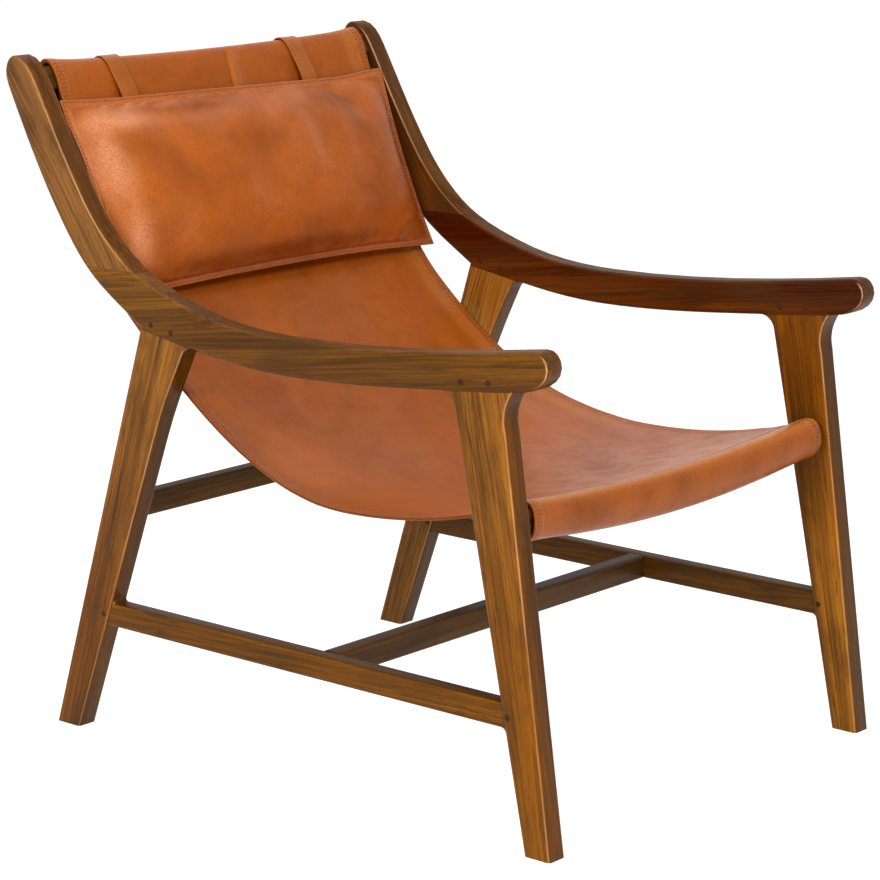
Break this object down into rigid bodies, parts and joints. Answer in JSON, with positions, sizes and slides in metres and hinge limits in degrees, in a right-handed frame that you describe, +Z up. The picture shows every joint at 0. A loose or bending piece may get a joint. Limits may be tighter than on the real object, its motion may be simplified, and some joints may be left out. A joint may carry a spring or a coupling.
{
  "type": "occasional chair",
  "caption": "Low lounge chair with sculpted wooden side frames, pegged stretchers, a leather sling seat and a strapped head pillow.",
  "frame": {"origin": "on the floor, under the middle of the chair's box", "axes": "+Z up; -Y is where the sitter faces; +X is the sitter's left"},
  "size_m": [0.67, 0.899, 0.8735],
  "materials": {
    "wood": "satin varnish over golden brown wood",
    "peg_wood": "satin varnish over darker end grain",
    "leather": "smooth waxed tan leather",
    "strap_leather": "smooth tan leather, a little lighter"
  },
  "bodies": {
    "frame": {"arm_left": "wood", "back_upright_left": "wood", "front_leg_left": "wood", "rear_leg_left": "wood", "side_stretcher_left": "wood", "arm_right": "wood", "back_upright_right": "wood", "front_leg_right": "wood", "rear_leg_right": "wood", "side_stretcher_right": "wood", "cross_stretcher": "wood", "rear_rail": "wood", "front_rail": "wood", "top_rail": "wood", "front_leg_peg_1_left": "peg_wood", "front_leg_peg_2_left": "peg_wood", "rear_leg_peg_1_left": "peg_wood", "rear_leg_peg_2_left": "peg_wood", "front_stretcher_peg_left": "peg_wood", "rear_stretcher_peg_left": "peg_wood", "front_leg_peg_1_right": "peg_wood", "front_leg_peg_2_right": "peg_wood", "rear_leg_peg_1_right": "peg_wood", "rear_leg_peg_2_right": "peg_wood", "front_stretcher_peg_right": "peg_wood", "rear_stretcher_peg_right": "peg_wood", "scarf_dowel_1_left": "peg_wood", "scarf_dowel_1_right": "peg_wood", "scarf_dowel_2_left": "peg_wood", "scarf_dowel_2_right": "peg_wood", "sling": "leather", "pillow_strap_left": "strap_leather", "pillow_strap_right": "strap_leather"},
    "pillow": {"head_pillow": "leather"}
  },
  "joints": [
    {"name": "pillow_swing", "type": "hinge", "parent": "frame", "child": "pillow", "pos_m": [0, 0.3768, 0.812], "axis": [-1, 0, 0], "range_deg": [0, 110]}
  ]
}
